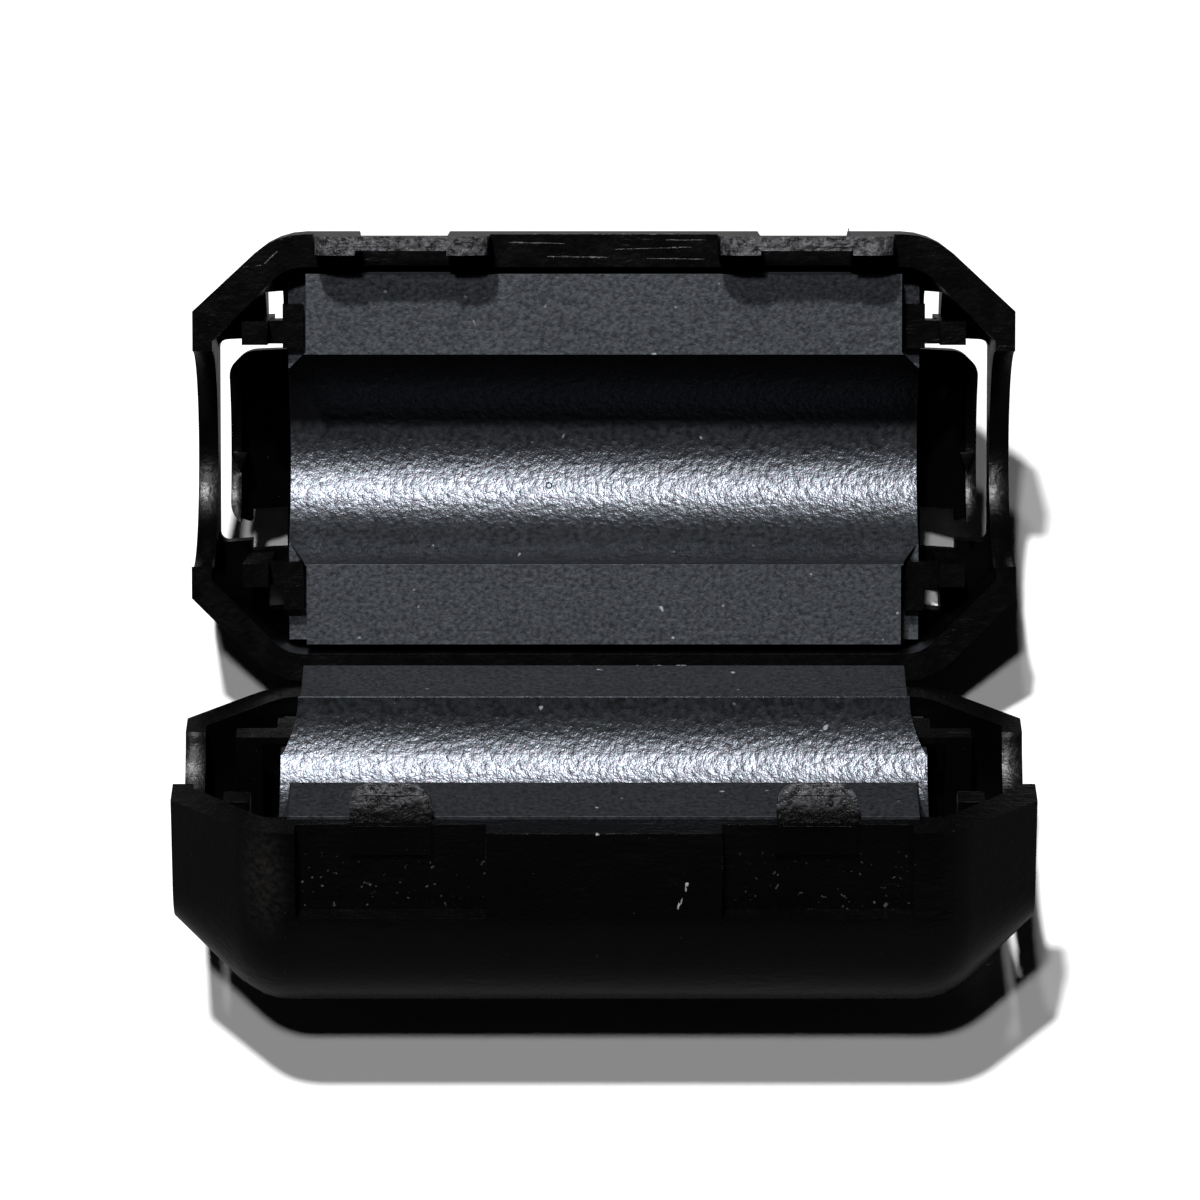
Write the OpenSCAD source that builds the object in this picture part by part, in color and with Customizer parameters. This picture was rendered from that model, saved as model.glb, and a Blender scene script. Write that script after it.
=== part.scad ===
// Clip-on ferrite bead for a cable, lying open: a moulded case in two half shells joined by a thin
// moulded hinge, with half a ferrite core in each shell. X runs along the cable, Y across it and Z up.
// The origin is on the table under the middle of the clip, and both shells rest on their rounded backs.
// A half is drawn in a frame of its own: x along the cable, y across it with the hinge side positive,
// z out of the face that meets the other half, and the cable's centre line at y = 0, z = 0.

/* [Pose] */
// Angle between the two mating faces as the clip lies open
open_angle = 107; // [90:1:125]

/* [Ferrite core] */
// Length of the core along the cable
core_len = 27.2; // [22:0.1:34]
// Radius of the cable channel through the closed core
bore_r = 4.5; // [3:0.1:5]
// Width of the flat land on each side of the channel
land_w = 3.45; // [2.8:0.05:4.5]
// Radius of the core's rounded back corners
core_corner_r = 4.05; // [3.6:0.05:5.5]
// Distance that the lands stop short of the core's ends
land_notch = 0.85; // [0.5:0.05:1.2]
// Depth of the notch at the end of each land
notch_depth = 2.4; // [2.2:0.1:2.8]
// Air between each core face and the mating plane
face_gap = 0.05; // [0.02:0.01:0.15]

/* [Case] */
// Thickness of the case's long walls and tapered ends
wall = 1.15; // [0.9:0.05:1.4]
// Thickness of the long wall on the free side, where the latches are
free_wall = 1.4; // [1.15:0.05:1.5]
// Room between the core and the case
core_room = 0.3; // [0.15:0.05:0.35]
// Length of the case past each end of the core
end_room = 4; // [3.8:0.1:5]
// Thickness of the flat end walls
end_wall = 0.85; // [0.7:0.05:1.1]
// Width of the slope all round each end
end_taper = 3.55; // [3:0.05:3.8]
// Radius that blends each slope into the long walls
shoulder_r = 3; // [1.5:0.1:4]
// Room between the cable hole in the end walls and the core's channel
hole_room = 0.15; // [0.05:0.05:0.3]
// Height of the hinge side's parting line below the mating plane, on the base
hinge_step = 1.4; // [1:0.1:1.8]

/* [Moulded hinge] */
// Gap that the thin hinge strip crosses, on each side of its fold
hinge_gap = 0.2; // [0.15:0.05:0.3]
// Thickness of the hinge strip
hinge_t = 0.35; // [0.25:0.05:0.5]
// Length of the hinge strip
hinge_len = 24; // [16:1:25]

/* [Cable claws] */
// Width of the springy claw at each end of a half
claw_w = 7.5; // [6:0.1:7.5]
// Distance of the claw's middle from the cable's centre line, towards the free side
claw_shift = 0.6; // [0:0.1:0.6]
// Width of the slot past the claw's free end and along its free side
claw_slot = 0.55; // [0.4:0.05:0.6]
// Width of the slot along the claw's hinge side
hinge_slot = 0.8; // [0.4:0.05:0.8]
// Corner radius of the claw's free end
claw_r = 1; // [0.6:0.1:1.5]
// Length of the wider opening beside the claw's root, on the hinge side
waist_len = 1.5; // [0.8:0.1:1.6]
// Width of that opening
waist_w = 1.8; // [1:0.1:2]
// Thickness of the lip on the claw's free end
claw_lip = 0.45; // [0.35:0.05:0.8]
// Room between the lip and a cable that fills the channel
lip_room = 0.45; // [0.3:0.05:0.6]
// Height of the three-cornered tooth on the lip
tooth_h = 0.3; // [0.15:0.05:0.35]
// Width of that tooth along the cable
tooth_w = 0.6; // [0.4:0.05:0.8]
// Length of that tooth across the cable, to its point
tooth_len = 0.85; // [0.5:0.05:1.2]

/* [Core retainers] */
// Thickness of the rib on each side of a claw
rib_t = 1; // [0.8:0.05:1.2]
// Distance from the cable's centre line to the free side's ribs
rib_at = 4.9; // [4.8:0.05:5.1]
// How much nearer to the cable the hinge side's ribs stand
rib_shift = 0.4; // [0:0.05:0.45]
// Distance of the full height of a rib from the core's end
rib_from = 0.8; // [0.5:0.05:0.9]
// Length of that full height
rib_len = 1.1; // [0.8:0.05:1.4]
// Depth of a rib's top below the rim beside it
rib_drop = 0.3; // [0.2:0.05:0.5]
// Depth of a rib's nose below its full height
nose_drop = 1.2; // [0.8:0.1:1.3]
// Width that the nose adds to the rib, away from the claw
nose_w = 0.7; // [0.3:0.1:1]
// Room between a rib's nose and the notch that it holds
nose_room = 0.2; // [0.1:0.05:0.25]
// Length along the cable of the mould's hole beside each rib
pull_len = 0.7; // [0.4:0.05:0.8]
// Width of that hole across the cable
pull_w = 1.3; // [0.8:0.05:1.5]

/* [Latches] */
// Distance of each latch from the middle of the clip
latch_at = 8.6; // [7:0.1:8.8]
// Width of a latch tongue on the lid
tongue_w = 7.5; // [6:0.1:7.8]
// Thickness of a latch tongue
tongue_t = 0.8; // [0.7:0.05:0.85]
// Reach of a latch tongue past the mating plane
tongue_reach = 2.9; // [2.6:0.1:3.2]
// Corner radius of a latch tongue's tip
tongue_r = 1.1; // [0.5:0.1:1.3]
// Thickness of the bar that closes the window in a tongue
bar_t = 0.6; // [0.5:0.05:0.65]
// Width of the window in a tongue
window_w = 3.9; // [3.6:0.1:4.5]
// Width of the catch on the base
catch_w = 3.3; // [2.8:0.1:3.4]
// Distance that the catch's head stands back behind its face
head_back = 0.2; // [0.1:0.05:0.25]
// Height of the catch's head above the rim
catch_head = 1.6; // [1.2:0.1:1.8]
// Corner radius of the catch's head
head_r = 0.9; // [0.4:0.1:1.2]
// Depth of the catch's shoulder below the rim
catch_shoulder = 1.3; // [1:0.1:1.5]
// Room between moving faces of a latch
latch_room = 0.1; // [0.08:0.01:0.15]
// Height of the recess in the base's front wall under a tongue
recess_h = 3.8; // [3.4:0.1:4.2]
// Depth of the mould's relief outside the lid, above each window
relief_depth = 0.55; // [0.3:0.05:0.65]
// Height of that relief
relief_h = 6.6; // [5:0.1:7]

/* [Hidden] */
black = [0.045, 0.045, 0.05];
ferrite = [0.3, 0.31, 0.34];
// Half sizes of the core, the cavity and the case
core_half = bore_r + land_w;
cavity_half = core_half + core_room;
case_half = cavity_half + wall;
free_more = free_wall - wall;
free_half = case_half + free_more;
case_corner_r = core_corner_r + core_room + wall;
core_end = core_len / 2;
case_end = core_end + end_room;
taper_at = case_end - end_taper;
// The taper's inner face starts where a wall of even thickness puts it
inner_taper_at = taper_at - wall * tan(22.5);
inner_end = case_end - end_wall;
// Rims: the free side's stay just short of the mating plane, the hinge side's are stepped
rim_free = -face_gap;
base_rim_hinge = -hinge_step - hinge_gap;
lid_rim_hinge = hinge_step - hinge_gap;
// How far a cut starts outside the face that it goes through
past = 1;
top = hinge_step + past;
hole_r = bore_r + hole_room;
// The open pose. The fold line is hinge_step under the base's mating plane and as much over the lid's,
// so the base lies flatter than the lid. base_tilt is the angle at which both backs touch the table.
corner_at = case_half - case_corner_r;
base_drop = corner_at - hinge_step;
lid_drop = corner_at + hinge_step;
both_tilts = 180 - open_angle;
base_tilt = atan2(
    base_drop - lid_drop * cos(both_tilts) + case_corner_r * sin(both_tilts),
    case_corner_r + lid_drop * sin(both_tilts) + case_corner_r * cos(both_tilts)
);
lid_tilt = both_tilts - base_tilt;
fold_z = case_corner_r * (1 - sin(base_tilt)) + base_drop * cos(base_tilt);
// Reach of each half from the fold line, which puts the origin under the middle of the clip
free_corner = free_half + corner_at;
base_reach = free_corner * cos(base_tilt) + base_drop * sin(base_tilt) + case_corner_r;
lid_reach = free_corner * cos(lid_tilt) + lid_drop * sin(lid_tilt) + case_corner_r;
fold_y = (base_reach - lid_reach) / 2;
// Stations [x, inset] of a rounded 45 degree shoulder, from the long wall to the flat end
function shoulder(at, end, r) =
    let (run = r * tan(22.5))
    concat(
        [for (a = [0:11.25:45]) [at - run + r * sin(a), r * (1 - cos(a))]],
        [[end, end - at]]
    );
eps = 0.01;
// How far a notch's slanted corner starts outside the channel and the core's end
notch_in = 0.1;
// How far the slots and the mould's holes stay off the core and the ribs
slot_gap = 0.3;
pull_gap = 0.4;
// How far those holes reach under the ribs' noses
pull_under = 0.25;
// Corner radius of the slots, and how far the opening at a claw's root goes past its slot
slot_r = 0.4;
waist_out = 0.45;
// Smallest thickness of a rib's nose, and how far it reaches towards the cable from the rib
nose_min = 0.3;
nose_in = 0.2;
// Distance of the tooth from the claw's free end
tooth_gap = 0.1;
// Edge rounding and backward lean of the catch's head, and its room in the window
head_edge = 0.2;
head_lean = 0.1;
head_room = 0.2;
// Step of the arcs in the case's back corners, in degrees
arc_step = 7.5;
latch_faces = [-latch_at, latch_at];
tongue_in = free_half - tongue_t;
bar_in = free_half - bar_t;
recess_in = tongue_in - latch_room;
eye_top = catch_shoulder + latch_room;
// The claw's free end, its hinge side's edge and the slot's start beside its root
claw_end = inner_end - claw_slot;
claw_side = claw_w / 2 - claw_shift;
slot_from = core_end + slot_gap;
// The lip's hollow, and the height at which its upper corners stop
lip_r = bore_r + lip_room;
lip_top = 2.6;

// One ring of the case or its cavity at x: rounded back corners and a square top. The free side is thicker
// by more, and by twice that at the ends
function ring(half, r, more, x, inset) =
    let (c = half - r, q = r - inset, free_c = c + more * (1 + inset / end_taper))
    concat(
        [[x, -q - free_c, top]],
        [for (a = [180:arc_step:270]) [x, q * cos(a) - free_c, q * sin(a) - c]],
        [for (a = [270:arc_step:360]) [x, q * cos(a) + c, q * sin(a) - c]],
        [[x, half - inset, top]]
    );

// The rounded, tapered block that the case and its cavity share: rings joined from end to end
module tapered_block(half, r, stations, more = 0) {
    last = len(stations) - 1;
    rings = concat(
        [for (i = [last:-1:0]) ring(half, r, more, -stations[i][0], stations[i][1])],
        [for (s = stations) ring(half, r, more, s[0], s[1])]
    );
    n = len(rings[0]);
    ends = len(rings) - 1;
    polyhedron(
        points = [for (loop = rings) each loop],
        faces = concat(
            [[for (k = [0:n - 1]) k]],
            [for (i = [0:ends - 1], k = [0:n - 1])
                let (m = (k + 1) % n) [i * n + k, (i + 1) * n + k, (i + 1) * n + m, i * n + m]],
            [[for (k = [n - 1:-1:0]) ends * n + k]]
        )
    );
}

// Everything above the rims of one half: the free side stops at the mating plane
module above_rims(hinge_rim) {
    length = 2 * (case_end + past);
    translate([-case_end - past, -free_half - past, rim_free]) cube([length, free_half + past, 2 * top]);
    translate([-case_end - past, -eps, hinge_rim]) cube([length, case_half + past, 2 * top]);
}

// An outline with two rounded upper corners, from the bottom up to the height
module rounded_top(width, height, r, bottom) {
    translate([-width / 2, bottom]) square([width, height - r - bottom]);
    translate([r - width / 2, bottom]) square([width - 2 * r, height - bottom]);
    for (s = [-1, 1]) translate([s * (width / 2 - r), height - r]) circle(r = r, $fn = 48);
}

// A claw seen along z, from its root in the wall to its rounded free end
module claw_outline() {
    translate([0, -claw_shift]) rotate(-90) rounded_top(claw_w, claw_end, claw_r, core_end);
}

// The C-shaped slot that frees a claw, and the holes beside the ribs, cut straight through the slope
module end_openings() {
    for (end = [0, 1]) mirror([end, 0, 0]) translate([0, 0, -case_half]) linear_extrude(case_half) {
        difference() {
            translate([0, (hinge_slot - claw_slot) / 2 - claw_shift])
                rotate(-90) rounded_top(claw_w + claw_slot + hinge_slot, inner_end, slot_r, slot_from);
            claw_outline();
        }
        translate([slot_from, claw_side + hinge_slot + waist_out - waist_w]) square([waist_len, waist_w]);
        for (side = [0, 1]) mirror([0, side, 0])
            translate([core_end + pull_gap, rib_at + rib_t - pull_under]) square([pull_len, pull_w]);
    }
}

// The lip on a claw's free end, hollowed for the cable, with one three-cornered tooth on it
module claw_lip_plate() {
    lip_x = claw_end - claw_lip;
    intersection() {
        difference() {
            translate([lip_x, claw_side - claw_w, -case_half]) cube([claw_lip, claw_w, case_half - lip_top]);
            translate([lip_x - past, 0, 0])
                rotate([0, 90, 0]) cylinder(r = lip_r, h = claw_lip + 2 * past, $fn = 64);
        }
        translate([0, 0, -case_half]) linear_extrude(case_half) claw_outline();
    }
    translate([claw_end - tooth_gap - tooth_w, 0, -case_half])
    linear_extrude(case_half - lip_r + tooth_h)
    polygon([[0, 0], [tooth_w, 0], [tooth_w / 2, tooth_len]]);
}

// A rib beside a claw, y from the cable: it stands on the slope, and its lower nose reaches over the
// notch in the core's end
module rib(y, drop) {
    nose = land_notch - nose_room;
    nose_top = min(max(drop, rib_drop + nose_drop), notch_depth - nose_room - nose_min);
    nose_t = notch_depth - nose_room - nose_top;
    translate([core_end + rib_from, y, -case_half]) cube([rib_len, rib_t, case_half - drop]);
    translate([core_end - nose, 0, nose_room - notch_depth]) {
        translate([0, y, 0]) cube([nose + rib_from + eps, rib_t, nose_t]);
        translate([0, rib_at - nose_in, 0]) cube([nose + nose_room, nose_in + rib_t + nose_w, nose_t]);
    }
}

// Claws and ribs at both ends of a half, trimmed to the middle of the wall that they stand on
module end_fittings(hinge_rim) {
    half_wall = wall / 2;
    intersection() {
        tapered_block(
            cavity_half + half_wall, case_corner_r - half_wall,
            shoulder(taper_at - half_wall * tan(22.5), case_end, shoulder_r)
        );
        for (end = [0, 1]) mirror([end, 0, 0]) {
            claw_lip_plate();
            mirror([0, 1, 0]) rib(rib_at, rib_drop);
            rib(rib_at - rib_shift, rib_drop + max(0, -hinge_rim));
        }
    }
}

// The half shell that both halves share
module half_case(hinge_rim) {
    difference() {
        tapered_block(case_half, case_corner_r, shoulder(taper_at, case_end, shoulder_r), free_more);
        tapered_block(
            cavity_half, case_corner_r - wall, shoulder(inner_taper_at, inner_end, shoulder_r - wall)
        );
        above_rims(hinge_rim);
        translate([-case_end - past, 0, 0])
            rotate([0, 90, 0]) cylinder(r = hole_r, h = 2 * (case_end + past), $fn = 96);
        end_openings();
    }
    end_fittings(hinge_rim);
}

// The section of a half core: square at the mating face, round at the back, with half the channel
module core_section() {
    corner_c = core_half - core_corner_r;
    difference() {
        intersection() {
            translate([-core_half, -core_half]) square([2 * core_half, core_half - face_gap]);
            union() {
                for (s = [-1, 1]) translate([s * corner_c, -corner_c]) circle(r = core_corner_r, $fn = 96);
                translate([-core_half, -corner_c]) square([2 * core_half, corner_c]);
                translate([-corner_c, -core_half]) square([2 * corner_c, core_half]);
            }
        }
        circle(r = bore_r, $fn = 128);
    }
}

// A half of the core, notched in its four corners where the ribs hold it
module core_half_body() {
    difference() {
        rotate([90, 0, 90]) translate([0, 0, -core_end]) linear_extrude(core_len) core_section();
        for (end = [0, 1], side = [0, 1]) mirror([end, 0, 0]) mirror([0, side, 0])
            translate([0, 0, -notch_depth])
            linear_extrude(notch_depth + past)
            polygon([
                [core_end - land_notch, core_half + past], [core_end - land_notch, bore_r + notch_in],
                [core_end + notch_in, bore_r - land_notch], [core_end + notch_in, core_half + past]
            ]);
    }
}

// The recesses in the base's front wall that take the tongues
module base_latch_recess() {
    for (x = latch_faces)
        translate([x - tongue_w / 2 - latch_room, -free_half - past, -recess_h])
        cube([tongue_w + 2 * latch_room, free_half + past - recess_in, recess_h + past]);
}

// The catch: a rounded head above the rim, a face before it down to the shoulder and a slope to the wall
module base_catch() {
    face = bar_in - latch_room;
    for (x = latch_faces) translate([x, 0, 0])
        intersection() {
            rotate([90, 0, 0]) linear_extrude(case_half) rounded_top(catch_w, catch_head, head_r, -recess_h);
            translate([-catch_w / 2, 0, 0])
            rotate([90, 0, 90])
            linear_extrude(catch_w)
            polygon([
                [-cavity_half, -recess_h], [-cavity_half, catch_head - head_edge],
                [-cavity_half - head_edge / 2, catch_head],
                [-cavity_half - 3 / 2 * head_edge, catch_head - head_edge / 2],
                [-face + head_lean + head_back, catch_head / 2],
                [-face + head_lean / 3 + head_back, 0], [-face + head_lean / 3, 0],
                [-face, -catch_shoulder], [-recess_in, -catch_shoulder - head_lean], [-recess_in, -recess_h]
            ]);
        }
}

// The latch tongues on the lid, each with a window that is closed by a thinner bar
module lid_tongue() {
    root = hinge_step;
    for (x = latch_faces) translate([x, 0, 0])
        difference() {
            translate([0, -tongue_in, 0])
            rotate([90, 0, 0])
            linear_extrude(tongue_t)
            difference() {
                rounded_top(tongue_w, tongue_reach, tongue_r, -root);
                translate([-window_w / 2, -root - past]) square([window_w, root + past + eye_top]);
            }
            translate([-window_w / 2, -bar_in, 0]) cube([window_w, bar_in, tongue_reach + past]);
        }
}

// The window goes on into the lid's wall, and the mould's relief runs on from it outside
module lid_latch_cuts() {
    window_top = catch_head + head_room;
    for (x = latch_faces) translate([x - window_w / 2, -free_half - past, 0]) {
        translate([0, 0, -window_top]) cube([window_w, free_half + past - core_half, 2 * top]);
        translate([0, 0, -relief_h]) cube([window_w, past + relief_depth, relief_h]);
    }
}

// Moves a half from its own frame to the open clip
module place_base() {
    translate([0, fold_y, fold_z])
    rotate([-base_tilt, 0, 0])
    translate([0, -case_half, hinge_step]) children();
}
module place_lid() {
    translate([0, fold_y, fold_z])
    rotate([lid_tilt, 0, 0])
    rotate([0, 0, 180])
    translate([0, -case_half, -hinge_step]) children();
}

module base_shell() {
    color(black)
    place_base() {
        difference() {
            half_case(base_rim_hinge);
            base_latch_recess();
        }
        base_catch();
    }
}

module lid_shell() {
    color(black)
    place_lid() {
        difference() {
            half_case(lid_rim_hinge);
            lid_latch_cuts();
        }
        lid_tongue();
    }
}

// A corner of the hinge strip where it meets a rim, w in from the outer face, seen from the fold line
function strip_corner(side, tilt, w) =
    [side * (w * cos(tilt) + hinge_gap * sin(tilt)), w * sin(tilt) - hinge_gap * cos(tilt)];

// The thin strip between the two rims, as it stands in the open clip
module living_hinge() {
    color(black)
    translate([-hinge_len / 2, fold_y, fold_z])
    rotate([90, 0, 90])
    linear_extrude(hinge_len)
    polygon([
        strip_corner(-1, base_tilt, hinge_t), strip_corner(-1, base_tilt, 0),
        strip_corner(1, lid_tilt, 0), strip_corner(1, lid_tilt, hinge_t)
    ]);
}

module base_core() {
    color(ferrite) place_base() core_half_body();
}

module lid_core() {
    color(ferrite) place_lid() core_half_body();
}

base_shell();
lid_shell();
living_hinge();
base_core();
lid_core();
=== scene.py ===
import math

import bmesh
import bpy
import numpy as np
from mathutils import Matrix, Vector


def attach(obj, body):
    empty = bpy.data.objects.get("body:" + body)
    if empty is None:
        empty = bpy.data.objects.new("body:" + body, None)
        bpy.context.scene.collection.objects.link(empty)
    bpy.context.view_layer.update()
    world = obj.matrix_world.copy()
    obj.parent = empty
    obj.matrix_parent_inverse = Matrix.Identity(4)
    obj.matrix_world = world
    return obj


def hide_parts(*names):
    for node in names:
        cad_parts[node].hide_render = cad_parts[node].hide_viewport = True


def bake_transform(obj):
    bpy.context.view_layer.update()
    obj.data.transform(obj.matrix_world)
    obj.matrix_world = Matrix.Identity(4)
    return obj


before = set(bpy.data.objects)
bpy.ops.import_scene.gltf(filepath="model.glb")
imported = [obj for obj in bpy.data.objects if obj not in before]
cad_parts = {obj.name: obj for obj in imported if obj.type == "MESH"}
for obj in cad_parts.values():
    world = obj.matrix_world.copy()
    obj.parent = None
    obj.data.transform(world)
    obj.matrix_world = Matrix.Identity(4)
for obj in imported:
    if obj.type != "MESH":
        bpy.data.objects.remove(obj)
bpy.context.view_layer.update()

# Lengths are in millimetres until a mesh is written
MM = 0.001

# The clip as part.scad lays it out. A half's own frame has x along the cable, across it with the hinge
# side positive, and out of its mating face
FOLD_Y, FOLD_Z = -0.0104, 5.2283
BASE_TILT, LID_TILT = math.radians(27.022), math.radians(45.978)
CASE_HALF = 9.4
# The base's mating face lies this far above the fold line, and the lid's as far below it
HINGE_STEP = 1.4
# The hinge strip's distance from the fold line, its thickness and its length
HINGE_GAP, HINGE_T, HINGE_LEN = 0.2, 0.35, 24.0

# The cable's centre line in each half as y and z, the channel's radius and the width of the core's flat
# beside it
BASE_AXIS, LID_AXIS = (-7.748, 10.746), (7.529, 11.015)
CHANNEL_R = 4.5
CORE_LAND = 3.45

# The free wall's distance from the middle of its half, and each latch's place along the cable
FREE_HALF = 9.65
LATCH_AT = 8.6
# The recess in the base that a tongue lies in: its floor's distance from the middle, half its length and
# its height. The face of the catch in it and half the catch's width
RECESS_IN, RECESS_SIDE, RECESS_H = 8.75, 3.85, 3.8
CATCH_FACE, CATCH_HALF = 8.92, 1.65
# Faces this near to a latch's middle, this far out and on the free side are a tongue's tip on the lid and
# a catch's head on the base
TIP_HALF, TIP_OUT = 4.2, 2.2
HEAD_HALF, HEAD_OUT = 1.8, 0.05
FREE_SIDE = -7.5

# The ribs' ends along the cable, and their upper edges as across and out: the far rib's and the near
# rib's two
RIB_X = (14.4, 15.5)
RIB_EDGES = ((4.5, -1.7), (-4.9, -0.32), (-5.9, -0.32))

# A pit in the lid's channel and a worn spot on the base's left corner, each in its half's own frame
PIT = (-2.38, 1.41, -4.27)
WORN = (-13.7, -9.5, -2.0)
# The lid's channel gets painted shade, a darker colour and weaker specular, between these distances from
# the cable's centre line, on its free side
PAINTED_SHADE_FROM, PAINTED_SHADE_FULL = 1.05, 1.5
# Trimmed nylon has painted shade below and a painted highlight above: it turns from dark and dull to
# lighter and glinting between these heights above the table, on the catches' heads
HIGHLIGHT_PAINTED_FROM, HIGHLIGHT_PAINTED_FULL = 15.05, 15.75

# The middles of the beads on the rims and beside them lie this far under the mating face, so that they
# clear the other half when the clip is shut
RIM_UNDER, BESIDE_UNDER = -0.07, -0.06
# A bead's points around it, the distance between its rings and between its random numbers, and its least
# radius
BEAD_SIDES, RING_STEP, KNOT_STEP, BEAD_LEAST = 7, 0.08, 0.3, 0.001

# Rounded edges: their width on the case and on the cores, and how sharp an edge has to be, in degrees
CASE_EDGE, CORE_EDGE = 0.09, 0.015
EDGE_TURN = 28
# CAD points closer than this are one, and faces that turn less than this, in degrees, are one flat face
SAME_POINT, SAME_FLAT = 0.002, 0.6
# A face this close to a measure lies on it
TOUCHES = 0.02

# The camera aims beside the fold line and above it in the picture. Its focal length is in pixels of the
# photo
CAMERA_ELEVATION = math.radians(49.05)
CAMERA_DISTANCE = 300.0
CAMERA_SIDE, CAMERA_UP = -0.163, 3.484
PHOTO_SIZE = 1200
FOCAL_PIXELS = 7020.0
SENSOR = 36.0

# The three lamps are discs that point at a height above the table. Each has its elevation in degrees, its
# offset along the cable and its strength
LAMP_DISTANCE = 2000.0
LAMP_SIZE = 110.0
LAMP_AIM = 8.0
LAMPS = (
    ("key lamp", 82.3, -0.14, 1.05),
    ("front lamp", 65.0, -0.10, 0.27),
    ("back lamp", 98.0, -0.10, 0.10),
)
TABLE_HALF = 900.0

# Colours, as linear reflectance, the tint of the ferrite's highlight and three plain greys
PLASTIC = (0.0009, 0.0009, 0.0010)
FERRITE = (0.014, 0.015, 0.0165)
FERRITE_SHINE = (0.80, 0.86, 1.0)
NOTHING, HALF, FULL = (0.0, 0.0, 0.0), (0.5, 0.5, 0.5), (1.0, 1.0, 1.0)
# Pressed ferrite: cells of grain per metre, the grain's depth in millimetres, and the gloss
PRESSED = {"grain_size": 3700, "grain_depth": 0.038, "roughness": 0.31, "ior": 1.80}


def mesh_object(name, points, faces, smooth=True):
    """A mesh from an array of points in millimetres and a list of faces."""
    mesh = bpy.data.meshes.new(name)
    mesh.from_pydata((np.asarray(points, float) * MM).tolist(), [], faces)
    mesh.update()
    mesh.polygons.foreach_set("use_smooth", [smooth] * len(mesh.polygons))
    made = bpy.data.objects.new(name, mesh)
    bpy.context.scene.collection.objects.link(made)
    return made


def tube_faces(rings, sides, start=0):
    """Faces of a closed tube whose points are stored ring after ring, the first of them with the number
    start. Quads join each ring to the next and the ring's last point to its first, and one face closes
    each end."""
    ring, turn = np.meshgrid(np.arange(rings - 1), np.arange(sides), indexing="ij")
    here = start + ring * sides + turn
    beside = start + ring * sides + (turn + 1) % sides
    quads = np.stack([here, beside, beside + sides, here + sides], axis=-1).reshape(-1, 4)
    first, last = start + np.arange(sides)[::-1], start + (rings - 1) * sides + np.arange(sides)
    return quads.tolist() + [first.tolist(), last.tolist()]


def shell_copy(node, name, edge_width):
    """A copy of a CAD node with its triangles merged, its flat faces made whole and its sharp edges
    rounded."""
    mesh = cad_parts[node].data.copy()
    mesh.name = name
    mesh.materials.clear()
    bm = bmesh.new()
    bm.from_mesh(mesh)
    bmesh.ops.remove_doubles(bm, verts=bm.verts, dist=SAME_POINT * MM)
    flat = math.radians(SAME_FLAT)
    bmesh.ops.dissolve_limit(
        bm, angle_limit=flat, use_dissolve_boundaries=False, verts=bm.verts, edges=bm.edges
    )
    bm.to_mesh(mesh)
    bm.free()
    if mesh.has_custom_normals:
        mesh.attributes.remove(mesh.attributes["custom_normal"])
    mesh.polygons.foreach_set("use_smooth", [True] * len(mesh.polygons))
    made = bpy.data.objects.new(name, mesh)
    bpy.context.scene.collection.objects.link(made)
    rounding = made.modifiers.new("edge rounding", "BEVEL")
    rounding.width = edge_width * MM
    rounding.segments = 3
    rounding.limit_method = "ANGLE"
    rounding.angle_limit = math.radians(EDGE_TURN)
    rounding.use_clamp_overlap = True
    rounding.harden_normals = False
    rounding.miter_outer = "MITER_ARC"
    even = made.modifiers.new("even shading", "WEIGHTED_NORMAL")
    even.keep_sharp = True
    even.weight = 60
    return made


def own_frame(points, lid):
    """How far points of the open clip lie across a half and out of its mating face. The way from the fold
    line is turned by the half's tilt, for the lid with y turned round first, and the fold line's own place
    is added."""
    side, tilt = (-1, LID_TILT) if lid else (1, BASE_TILT)
    run, rise = side * (points[..., 1] - FOLD_Y), points[..., 2] - FOLD_Z
    across = run * math.cos(tilt) - rise * math.sin(tilt)
    out = run * math.sin(tilt) + rise * math.cos(tilt)
    return across + CASE_HALF, out - side * HINGE_STEP


def from_own_frame(points, lid):
    """Points of a half's own frame, as x, across and out, in the open clip: own_frame turned round."""
    side, tilt = (-1, LID_TILT) if lid else (1, BASE_TILT)
    x, across, out = np.moveaxis(np.asarray(points, float), -1, 0)
    across, out = across - CASE_HALF, out + side * HINGE_STEP
    run = across * math.cos(tilt) + out * math.sin(tilt)
    rise = out * math.cos(tilt) - across * math.sin(tilt)
    return np.stack([x, side * run + FOLD_Y, rise + FOLD_Z], axis=-1)


def new_material(name):
    """An empty node material, its tree and its shader."""
    made = bpy.data.materials.new(name)
    made.use_nodes = True
    tree = made.node_tree
    tree.nodes.clear()
    shader = tree.nodes.new("ShaderNodeBsdfPrincipled")
    output = tree.nodes.new("ShaderNodeOutputMaterial")
    tree.links.new(shader.outputs["BSDF"], output.inputs["Surface"])
    return made, tree, shader


def object_place(tree):
    """Object coordinates, in metres."""
    return tree.nodes.new("ShaderNodeTexCoord").outputs["Object"]


def height_of(tree, place):
    """The height of a place above the table at rest, in metres."""
    parts = tree.nodes.new("ShaderNodeSeparateXYZ")
    tree.links.new(place, parts.inputs[0])
    return parts.outputs["Z"]


def vector_math(tree, operation, first, second=None):
    """An operation on a vector socket and three numbers. Lengths and dot products are values, the rest
    vectors."""
    node = tree.nodes.new("ShaderNodeVectorMath")
    node.operation = operation
    tree.links.new(first, node.inputs[0])
    if second is not None:
        node.inputs[1].default_value = second
    return node.outputs["Value" if operation in ("LENGTH", "DOT_PRODUCT") else "Vector"]


def noise(tree, place, scale, detail, rough):
    """A noise pattern of that many cells per metre."""
    node = tree.nodes.new("ShaderNodeTexNoise")
    node.inputs["Scale"].default_value = scale
    node.inputs["Detail"].default_value = detail
    node.inputs["Roughness"].default_value = rough
    tree.links.new(place, node.inputs["Vector"])
    return node.outputs[0]


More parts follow.
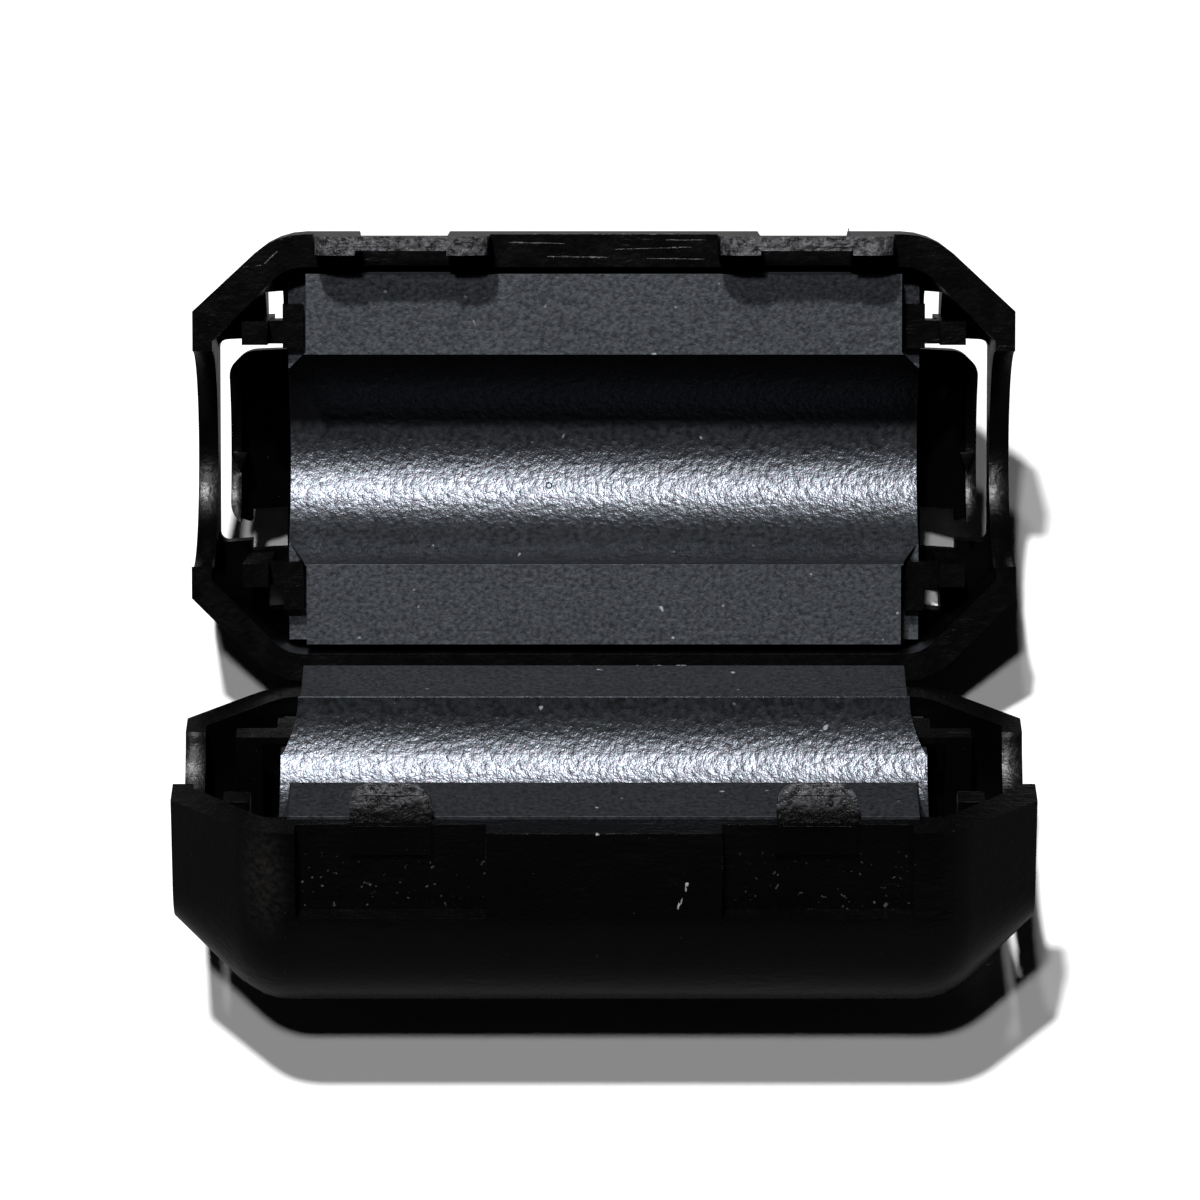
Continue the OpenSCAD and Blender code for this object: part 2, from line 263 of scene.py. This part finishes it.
def ramp(tree, value, stops):
    """Colours or greys along a value: stops are (position, colour or grey)."""
    node = tree.nodes.new("ShaderNodeValToRGB")
    band = node.color_ramp
    while len(band.elements) < len(stops):
        band.elements.new(0.5)
    for element, (at, tone) in zip(band.elements, stops):
        element.position = at
        element.color = (*tone, 1) if isinstance(tone, tuple) else (tone, tone, tone, 1)
    tree.links.new(value, node.inputs[0])
    return node.outputs["Color"]


def mixed(tree, factor, first, second, how="MIX"):
    """Two colours mixed, each a socket or a colour. The factor is a socket or a number."""
    node = tree.nodes.new("ShaderNodeMix")
    node.data_type = "RGBA"
    node.blend_type = how
    for socket, value in ((node.inputs[0], factor), (node.inputs[6], first), (node.inputs[7], second)):
        if hasattr(value, "is_output"):
            tree.links.new(value, socket)
        else:
            socket.default_value = value if isinstance(value, float) else (*value, 1)
    return node.outputs[2]


def spread(tree, value, none_at, full_at):
    """0 where the value is none_at, 1 where it is full_at, and between them in a straight line."""
    node = tree.nodes.new("ShaderNodeMapRange")
    node.inputs["From Min"].default_value = none_at
    node.inputs["From Max"].default_value = full_at
    tree.links.new(value, node.inputs["Value"])
    return node.outputs["Result"]


def spread_from(tree, place, middle, none_at, full_at, stretch=(1, 1, 1)):
    """0 at the distance none_at from a point and 1 at the distance full_at, in millimetres. The way from
    the point is divided by the stretch along each axis first."""
    way = vector_math(tree, "SUBTRACT", place, [c * MM for c in middle])
    length = vector_math(tree, "LENGTH", vector_math(tree, "DIVIDE", way, stretch))
    return spread(tree, length, none_at * MM, full_at * MM)


def bump(tree, height, depth, strength=1.0, under=None):
    """Bump of that depth in millimetres from a height of 0 to 1, on top of another bump."""
    node = tree.nodes.new("ShaderNodeBump")
    node.inputs["Strength"].default_value = strength
    node.inputs["Distance"].default_value = depth * MM
    tree.links.new(height, node.inputs["Height"])
    if under is not None:
        tree.links.new(under, node.inputs["Normal"])
    return node.outputs["Normal"]


def case_plastic(name, dust_from, dust_tone, dust_below=None):
    """Black moulded nylon: near black and satin, with fine mould grain, dull patches, rubbed spots,
    streaks along the cable in some patches, the worn spot, and pale specks where their noise is over
    dust_from. With dust_below the specks lie only under that height."""
    made, tree, shader = new_material(name)
    place = object_place(tree)
    patches = noise(tree, place, 220, 4.0, 0.6)
    grain = noise(tree, place, 4200, 3.0, 0.6)
    specks = noise(tree, place, 4800, 2.0, 0.4)
    rubbed = noise(tree, place, 900, 5.0, 0.7)
    tone = ramp(tree, patches, [(0.35, PLASTIC), (0.75, tuple(1.9 * c for c in PLASTIC))])
    dust = ramp(tree, specks, [(dust_from, 0.0), (dust_from + 0.05, 1.0)])
    if dust_below is not None:
        low = spread(tree, height_of(tree, place), (dust_below + 0.3) * MM, (dust_below - 0.5) * MM)
        dust = mixed(tree, low, NOTHING, dust)
    tone = mixed(tree, dust, tone, (dust_tone, dust_tone, 1.07 * dust_tone))
    near_worn = spread_from(tree, place, from_own_frame(WORN, False), 1.5, 0.2, (0.75, 3.0, 2.0))
    worn = mixed(tree, near_worn, NOTHING, ramp(tree, grain, [(0.36, 0.1), (0.66, 1.0)]))
    tone = mixed(tree, worn, tone, (0.014, 0.013, 0.012))
    tree.links.new(tone, shader.inputs["Base Color"])
    gloss = ramp(tree, rubbed, [(0.35, 0.30), (0.70, 0.18)])
    tree.links.new(gloss, shader.inputs["Roughness"])
    shader.inputs["Specular IOR Level"].default_value = 0.12
    drawn = tree.nodes.new("ShaderNodeMapping")
    drawn.inputs["Scale"].default_value = (0.35, 1, 1)
    tree.links.new(place, drawn.inputs["Vector"])
    streaks = noise(tree, drawn.outputs["Vector"], 2400, 3.0, 0.6)
    streaks = mixed(tree, ramp(tree, patches, [(0.50, 0.0), (0.60, 1.0)]), HALF, streaks)
    relief = bump(tree, grain, 0.016, 0.8)
    relief = bump(tree, rubbed, 0.05, 0.5, relief)
    relief = bump(tree, streaks, 0.05, 0.8, relief)
    tree.links.new(relief, shader.inputs["Normal"])
    return made


def torn_plastic():
    """The same nylon where the mould's halves met and it was trimmed: lumpy and greyish. By height it is
    painted: a painted highlight, lighter and glinting, from halfway up the catches' heads, and painted
    shade, dark and dull, below."""
    made, tree, shader = new_material("trimmed nylon")
    place = object_place(tree)
    lumps = noise(tree, place, 3000, 4.0, 0.65)
    fine = noise(tree, place, 7000, 2.0, 0.5)
    # Painted highlight high on the catches' heads and painted shade below them, set by height
    painted_highlight = spread(tree, height_of(tree, place), HIGHLIGHT_PAINTED_FROM * MM, HIGHLIGHT_PAINTED_FULL * MM)
    tone = ramp(tree, lumps, [(0.40, (0.008, 0.008, 0.009)), (0.62, (0.105, 0.105, 0.115))])
    tone = mixed(tree, painted_highlight, (0.004, 0.004, 0.004), tone)
    tree.links.new(tone, shader.inputs["Base Color"])
    tree.links.new(mixed(tree, painted_highlight, (0.12, 0.12, 0.12), HALF), shader.inputs["Specular IOR Level"])
    shader.inputs["Roughness"].default_value = 0.24
    relief = bump(tree, lumps, 0.26)
    relief = bump(tree, fine, 0.03, under=relief)
    tree.links.new(relief, shader.inputs["Normal"])
    return made


def core_ferrite(name, grain_size, grain_depth, roughness, ior, painted_shade_side=False):
    """Dark grey sintered ferrite: grain that glitters in the light, a few pale specks, faint clouds and
    the pit. With the last argument set, the lid's channel gets painted shade on its free side: a darker
    colour and weaker specular."""
    made, tree, shader = new_material(name)
    place = object_place(tree)
    clouds = noise(tree, place, 260, 4.0, 0.6)
    grain = noise(tree, place, grain_size, 2.0, 0.55)
    fine = noise(tree, place, 15000, 1.0, 0.5)
    specks = noise(tree, place, 2100, 1.0, 0.3)
    darker, lighter = (tuple(share * c for c in FERRITE) for share in (0.85, 1.15))
    tone = ramp(tree, clouds, [(0.3, darker), (0.75, lighter)])
    mottle = ramp(tree, grain, [(0.3, 0.40), (0.7, 1.60)])
    tone = mixed(tree, 1.0, tone, mottle, "MULTIPLY")
    pale = ramp(tree, specks, [(0.78, 0.0), (0.82, 1.0)])
    tone = mixed(tree, pale, tone, (0.30, 0.31, 0.34))
    shine = ramp(tree, grain, [(0.3, 0.30), (0.7, 0.70)])
    # Painted shade: the lid's channel is darker and less glossy on its free side
    if painted_shade_side:
        lid_across = (0, -math.cos(LID_TILT), -math.sin(LID_TILT))
        across = vector_math(tree, "DOT_PRODUCT", place, lid_across)
        cable = np.dot(LID_AXIS, lid_across[1:])
        painted_shade = spread(tree, across, (cable - PAINTED_SHADE_FROM) * MM, (cable - PAINTED_SHADE_FULL) * MM)
        tone = mixed(tree, painted_shade, tone, (0.003, 0.003, 0.0035))
        shine = mixed(tree, painted_shade, shine, (0.08, 0.08, 0.08))
    tree.links.new(tone, shader.inputs["Base Color"])
    shader.inputs["IOR"].default_value = ior
    tree.links.new(shine, shader.inputs["Specular IOR Level"])
    warm, cool = (0.98, 0.80, 0.92), (0.70, 0.94, 1.0)
    tint = ramp(tree, fine, [(0.32, warm), (0.44, FERRITE_SHINE), (0.56, FERRITE_SHINE), (0.68, cool)])
    tree.links.new(tint, shader.inputs["Specular Tint"])
    shader.inputs["Roughness"].default_value = roughness
    relief = bump(tree, grain, grain_depth)
    relief = bump(tree, fine, 0.25 * grain_depth, under=relief)
    beyond_pit = spread_from(tree, place, from_own_frame(PIT, True), 0.09, 0.15)
    relief = bump(tree, beyond_pit, 0.12, under=relief)
    tree.links.new(relief, shader.inputs["Normal"])
    return made


def seen_directly(tree):
    """1 for camera rays and for rays through something clear, else 0. The clip has no metal and no glass,
    and in the photo its black case shows nothing bright around it."""
    rays = tree.nodes.new("ShaderNodeLightPath")
    most = tree.nodes.new("ShaderNodeMath")
    most.operation = "MAXIMUM"
    tree.links.new(rays.outputs["Is Camera Ray"], most.inputs[0])
    tree.links.new(rays.outputs["Is Transmission Ray"], most.inputs[1])
    return most.outputs[0]


def table_white():
    """A table that the camera sees white with the shadow on it, and that throws only a little light
    back."""
    made, tree, shader = new_material("white table")
    tone = mixed(tree, seen_directly(tree), (0.15, 0.15, 0.15), FULL)
    tree.links.new(tone, shader.inputs["Base Color"])
    shader.inputs["Roughness"].default_value = 1.0
    shader.inputs["Specular IOR Level"].default_value = 0.0
    return made


def world_white():
    """White behind the table for the camera, dim for everything that lights the object."""
    world = bpy.data.worlds.new("studio")
    bpy.context.scene.world = world
    world.use_nodes = True
    tree = world.node_tree
    tree.nodes.clear()
    dim = tree.nodes.new("ShaderNodeBackground")
    white = tree.nodes.new("ShaderNodeBackground")
    dim.inputs["Color"].default_value = (0.9, 0.95, 1.0, 1)
    dim.inputs["Strength"].default_value = 0.003
    white.inputs["Color"].default_value = (*FULL, 1)
    white.inputs["Strength"].default_value = 1.0
    choose = tree.nodes.new("ShaderNodeMixShader")
    output = tree.nodes.new("ShaderNodeOutputWorld")
    tree.links.new(seen_directly(tree), choose.inputs[0])
    tree.links.new(dim.outputs[0], choose.inputs[1])
    tree.links.new(white.outputs[0], choose.inputs[2])
    tree.links.new(choose.outputs[0], output.inputs["Surface"])


def face_values(piece, kind):
    """One vector for each face of a piece: its middle for "center", the way it faces for "normal"."""
    values = np.zeros(len(piece.data.polygons) * 3)
    piece.data.polygons.foreach_get(kind, values)
    return values.reshape(-1, 3)


def finish_channel(piece, axis):
    """Gives the piece's second finish to the cable channel: the faces whose middle lies within the
    channel's radius of the cable's centre line and that don't face along the cable."""
    middle, facing = face_values(piece, "center") / MM, face_values(piece, "normal")
    radius = np.hypot(middle[:, 1] - axis[0], middle[:, 2] - axis[1])
    inside = (radius < CHANNEL_R + TOUCHES) & (np.abs(facing[:, 0]) < 0.5)
    piece.data.polygons.foreach_set("material_index", inside.astype(np.int32))


def finish_latches(piece, lid):
    """Gives the second finish to the catches' heads on the base, or to the tongues' tips on the lid. The
    floors of the base's recesses get the third, as dust lies there."""
    middle = face_values(piece, "center") / MM
    across, out = own_frame(middle, lid)
    half, lowest = (TIP_HALF, TIP_OUT) if lid else (HEAD_HALF, HEAD_OUT)
    near = np.abs(np.abs(middle[:, 0]) - LATCH_AT) < half
    trimmed = near & (out > lowest) & (across < FREE_SIDE)
    floors = (np.abs(across + RECESS_IN) < TOUCHES) & (out < 0) & (out > -RECESS_H) & (not lid)
    piece.data.polygons.foreach_set("material_index", (trimmed + 2 * floors).astype(np.int32))


def beads(name, lid, seams, seed):
    """Thin uneven beads where flash was trimmed off along edges of the moulding. A seam is a first point,
    a last point and a greatest radius r, in the half's own frame. At t from 0 to 1 along it the bead's
    radius is r (0.25 + 0.75 n(t)^2) min(1, 8 t, 8 (1 - t)), with n(t) random numbers of 0 to 1 joined by
    straight lines."""
    numbers = np.random.default_rng(seed)
    turn = np.linspace(0, 2 * math.pi, BEAD_SIDES, endpoint=False)[None, :, None]
    points, faces, start = [], [], 0
    for first, last, radius in seams:
        first, last = np.array(first, float), np.array(last, float)
        length = np.linalg.norm(last - first)
        along = (last - first) / length
        up = np.array([0, 0, 1.0]) if abs(along[2]) < 0.7 else np.array([1.0, 0, 0])
        side = np.cross(along, up)
        side /= np.linalg.norm(side)
        up = np.cross(side, along)
        rings, knots = max(6, int(length / RING_STEP)), max(3, int(length / KNOT_STEP))
        t = np.linspace(0, 1, rings)
        n = np.interp(t, np.linspace(0, 1, knots), numbers.random(knots))
        r = radius * (0.25 + 0.75 * n ** 2) * np.minimum(1, np.minimum(8 * t, 8 * (1 - t)))
        r = np.maximum(r, BEAD_LEAST)[:, None, None]
        middle = first + t[:, None] * (last - first)
        ring = middle[:, None] + r * (np.cos(turn) * side + np.sin(turn) * up)
        points.append(ring.reshape(-1, 3))
        faces += tube_faces(rings, BEAD_SIDES, start)
        start += rings * BEAD_SIDES
    return mesh_object(name, from_own_frame(np.vstack(points), lid), faces)


def base_seams():
    """The seams of the base: its front rim between the recesses, the recesses' upper and inner edges, the
    catches' faces, two ridges and a lump on each catch's head, and the ribs' upper edges."""
    inner, outer = LATCH_AT - RECESS_SIDE, LATCH_AT + RECESS_SIDE
    rim, floor, face = -FREE_HALF + 0.01, (-RECESS_IN, BESIDE_UNDER), (-CATCH_FACE, BESIDE_UNDER)
    seams = [((-inner, rim, RIM_UNDER), (inner, rim, RIM_UNDER), 0.05)]
    for side in (-1, 1):
        latch = side * LATCH_AT
        near_end, far_end = side * (LATCH_AT - CATCH_HALF), side * (LATCH_AT + CATCH_HALF)
        seams += [
            ((side * inner, *floor), (near_end, *floor), 0.04),
            ((far_end, *floor), (side * outer, *floor), 0.04),
            ((near_end, *face), (far_end, *face), 0.05),
            ((side * inner, rim, -0.2), (side * inner, rim, -1.9), 0.035),
            ((latch - 1.15, -8.42, 1.55), (latch + 1.15, -8.42, 1.55), 0.15),
            ((latch - 1.3, -8.61, 1.20), (latch + 1.3, -8.61, 1.20), 0.10),
            ((latch + 0.4, -8.64, 0.85), (latch + 0.65, -8.64, 0.85), 0.16),
        ]
        seams += [((side * RIB_X[0], *edge), (side * RIB_X[1], *edge), 0.07) for edge in RIB_EDGES]
    return seams


def base_marks():
    """Pale marks on the base: three chips on its front rim, two short scuffs on the front wall and fluff
    along the far edge of the core."""
    rim, far = -FREE_HALF + 0.03, CHANNEL_R + CORE_LAND + 0.03
    return [
        ((-0.36, rim, -0.11), (-0.16, rim, -0.11), 0.10),
        ((1.92, rim, -0.10), (2.08, rim, -0.10), 0.09),
        ((-4.72, rim, -0.08), (-4.3, rim, -0.08), 0.07),
        ((3.36, rim, -2.15), (3.26, rim, -2.85), 0.10),
        ((3.16, rim, -2.80), (2.98, rim, -3.45), 0.09),
        ((-2.3, far, -0.10), (-0.2, far, -0.10), 0.06),
        ((1.1, far, -0.10), (3.8, far, -0.10), 0.06),
    ]


def lid_seams():
    """The seams of the lid: its front rim between the tongues, a burr at the right window's corner, two
    scrapes on the left corner of the rim, streaks on the rim between the tongues and ridges along the
    tongues' tips."""
    rim, tip, tip_half = -FREE_HALF, (-9.25, 2.89), 2.6
    return [
        ((-4.6, rim, RIM_UNDER), (4.6, rim, RIM_UNDER), 0.04),
        ((10.5, rim + 0.10, -0.1), (10.44, rim - 0.28, -0.1), 0.07),
        ((9.0, rim + 0.52, -0.1), (10.5, rim + 0.42, -0.1), 0.16),
        ((-15.5, -8.24, RIM_UNDER), (-14.56, -8.33, RIM_UNDER), 0.06),
        ((-14.56, -8.33, RIM_UNDER), (-13.9, -8.97, RIM_UNDER), 0.06),
        ((-4.2, -9.30, BESIDE_UNDER), (-1.5, -9.25, BESIDE_UNDER), 0.06),
        ((0.3, -9.00, BESIDE_UNDER), (3.9, -9.10, BESIDE_UNDER), 0.06),
        ((-2.6, -8.70, BESIDE_UNDER), (0.4, -8.65, BESIDE_UNDER), 0.05),
        ((1.6, -8.62, BESIDE_UNDER), (4.4, -8.58, BESIDE_UNDER), 0.06),
        ((2.6, -9.40, BESIDE_UNDER), (4.5, -9.40, BESIDE_UNDER), 0.06),
        ((-LATCH_AT - tip_half, *tip), (-LATCH_AT + tip_half, *tip), 0.09),
        ((LATCH_AT - tip_half, *tip), (LATCH_AT + tip_half, *tip), 0.09),
    ]


def hinge_strip():
    """The thin moulded strip between the two halves. Around the fold line, with a and b the edges of its
    outer face and s from 0 to 1, that face is (1 - s)^2 a + s^2 b. The inner face is
    (1 - s)^2 c + 2 s (1 - s) m + s^2 d, with c and d one thickness inside a and b, and m a little below
    their middle. The section is carried along x."""
    s = np.linspace(0, 1, 13)[:, None]
    outer_base = -HINGE_GAP * np.array([math.sin(BASE_TILT), math.cos(BASE_TILT)])
    outer_lid = -HINGE_GAP * np.array([-math.sin(LID_TILT), math.cos(LID_TILT)])
    inner_base = outer_base + HINGE_T * np.array([-math.cos(BASE_TILT), math.sin(BASE_TILT)])
    inner_lid = outer_lid + HINGE_T * np.array([math.cos(LID_TILT), math.sin(LID_TILT)])
    below = (inner_base + inner_lid) / 2 - np.array([0.0, 0.05])
    outer = (1 - s) ** 2 * outer_base + s ** 2 * outer_lid
    inner = (1 - s) ** 2 * inner_base + 2 * s * (1 - s) * below + s ** 2 * inner_lid
    section = np.vstack([outer, inner[::-1]])[::-1]
    x = np.linspace(-HINGE_LEN / 2, HINGE_LEN / 2, 41)
    points = np.zeros((len(x), len(section), 3))
    points[..., 0] = x[:, None]
    points[..., 1:] = section + (FOLD_Y, FOLD_Z)
    made = mesh_object("hinge_strip", points.reshape(-1, 3), tube_faces(len(x), len(section)))
    made.data.set_sharp_from_angle(angle=math.radians(50))
    return made


plastic = case_plastic("black moulded nylon", dust_from=0.77, dust_tone=0.03)
dusty = case_plastic("dusty nylon", dust_from=0.69, dust_tone=0.06, dust_below=13.4)
scraped = case_plastic("scraped nylon", dust_from=0.47, dust_tone=0.30)
torn = torn_plastic()
ground = core_ferrite("ground ferrite", grain_size=5200, grain_depth=0.020, roughness=0.53, ior=1.60)
pressed = core_ferrite("pressed ferrite", **PRESSED)
pressed_lid = core_ferrite("pressed ferrite, painted shade side", **PRESSED, painted_shade_side=True)

base_case = shell_copy("base_shell", "base_case", CASE_EDGE)
lid_case = shell_copy("lid_shell", "lid_case", CASE_EDGE)
base_ferrite = shell_copy("base_core", "base_ferrite", CORE_EDGE)
lid_ferrite = shell_copy("lid_core", "lid_ferrite", CORE_EDGE)

for piece, node, body, slot, finishes in (
    (base_case, "base_shell", "base", "case_plastic", [plastic, torn, dusty]),
    (lid_case, "lid_shell", "lid", "case_plastic", [plastic, torn]),
    (base_ferrite, "base_core", "base", "ferrite", [ground, pressed]),
    (lid_ferrite, "lid_core", "lid", "ferrite", [ground, pressed_lid]),
):
    for finish in finishes:
        piece.data.materials.append(finish)
    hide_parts(node)
    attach(piece, body)

hinge = hinge_strip()
hinge.data.materials.append(plastic)
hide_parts("living_hinge")
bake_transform(hinge)

for piece, finish, body in (
    (beads("base_flash", False, base_seams(), 7), torn, "base"),
    (beads("base_scuffs", False, base_marks(), 5), scraped, "base"),
    (beads("lid_flash", True, lid_seams(), 3), torn, "lid"),
):
    piece.data.materials.append(finish)
    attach(piece, body)

finish_latches(base_case, lid=False)
finish_latches(lid_case, lid=True)
finish_channel(base_ferrite, BASE_AXIS)
finish_channel(lid_ferrite, LID_AXIS)

corners = [(x * TABLE_HALF, y * TABLE_HALF, 0) for x, y in ((-1, -1), (1, -1), (1, 1), (-1, 1))]
table = mesh_object("table", corners, [[0, 1, 2, 3]], smooth=False)
table.data.materials.append(table_white())
world_white()

# At this power a white surface that faces a lamp renders at the lamp's strength
for name, elevation, offset, strength in LAMPS:
    light = bpy.data.lights.new(name, "AREA")
    light.shape = "DISK"
    light.size = LAMP_SIZE * MM
    light.energy = strength * math.pi ** 2 * (LAMP_DISTANCE * MM) ** 2
    lamp = bpy.data.objects.new(name, light)
    bpy.context.scene.collection.objects.link(lamp)
    elevation = math.radians(elevation)
    toward = Vector((offset, -math.cos(elevation), math.sin(elevation))).normalized()
    lamp.location = (Vector((0, 0, LAMP_AIM)) + toward * LAMP_DISTANCE) * MM
    lamp.rotation_euler = toward.to_track_quat("Z", "Y").to_euler()

view = bpy.data.cameras.new("camera")
view.sensor_fit = "HORIZONTAL"
view.sensor_width = SENSOR
view.lens = FOCAL_PIXELS / PHOTO_SIZE * SENSOR
view.clip_start = 10 * MM
view.clip_end = 5000 * MM
camera = bpy.data.objects.new("camera", view)
bpy.context.scene.collection.objects.link(camera)
back = Vector((0, -math.cos(CAMERA_ELEVATION), math.sin(CAMERA_ELEVATION)))
up = Vector((0, math.sin(CAMERA_ELEVATION), math.cos(CAMERA_ELEVATION)))
aim = Vector((CAMERA_SIDE, FOLD_Y, FOLD_Z)) + up * CAMERA_UP
camera.location = (aim + back * CAMERA_DISTANCE) * MM
camera.rotation_euler = back.to_track_quat("Z", "Y").to_euler()
bpy.context.scene.camera = camera
bpy.context.scene.view_settings.view_transform = "Standard"
